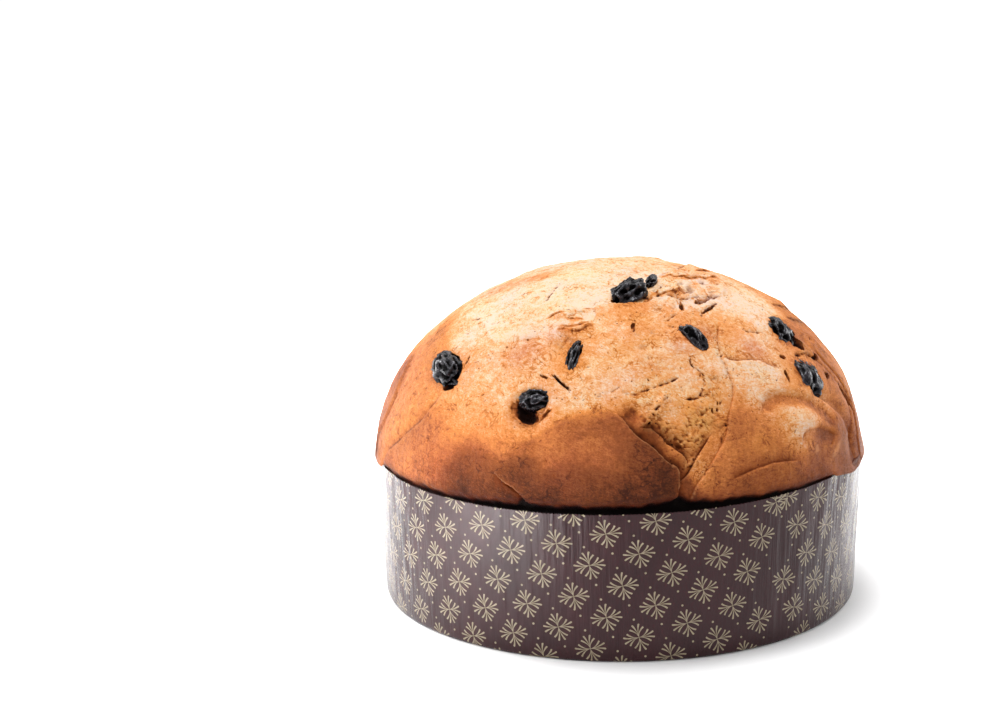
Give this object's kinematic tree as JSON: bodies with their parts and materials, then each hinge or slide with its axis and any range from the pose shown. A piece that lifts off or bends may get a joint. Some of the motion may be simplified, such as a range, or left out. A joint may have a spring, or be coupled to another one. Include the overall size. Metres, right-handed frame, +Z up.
{
  "type": "panettone",
  "caption": "Low round panettone with a folded, cracked golden crust set with raisins, in a shallow brown paper baking case with a floret print.",
  "frame": {"origin": "on the surface it stands on, under the middle of the paper case's base", "axes": "+Z up through the middle of the loaf, -Y to the front, where the crust's main fold opens, +X to the right seen from the front"},
  "size_m": [0.2104, 0.2113, 0.1442],
  "materials": {
    "crust": "baked golden brown crust, satin skin on the flaps and dry torn crumb between them",
    "case_paper": "dark brown greaseproof baking paper with a soft sheen and a pale gold floret print",
    "raisin": "near-black wrinkled skin, moist gloss"
  },
  "bodies": {
    "root": {"loaf": "crust", "paper_case": "case_paper", "raisin_01": "raisin", "raisin_02": "raisin", "raisin_03": "raisin", "raisin_04": "raisin", "raisin_05": "raisin", "raisin_06": "raisin", "raisin_07": "raisin", "raisin_08": "raisin", "raisin_09": "raisin", "raisin_10": "raisin", "raisin_11": "raisin", "raisin_12": "raisin", "raisin_13": "raisin", "raisin_14": "raisin", "raisin_15": "raisin"}
  },
  "joints": []
}
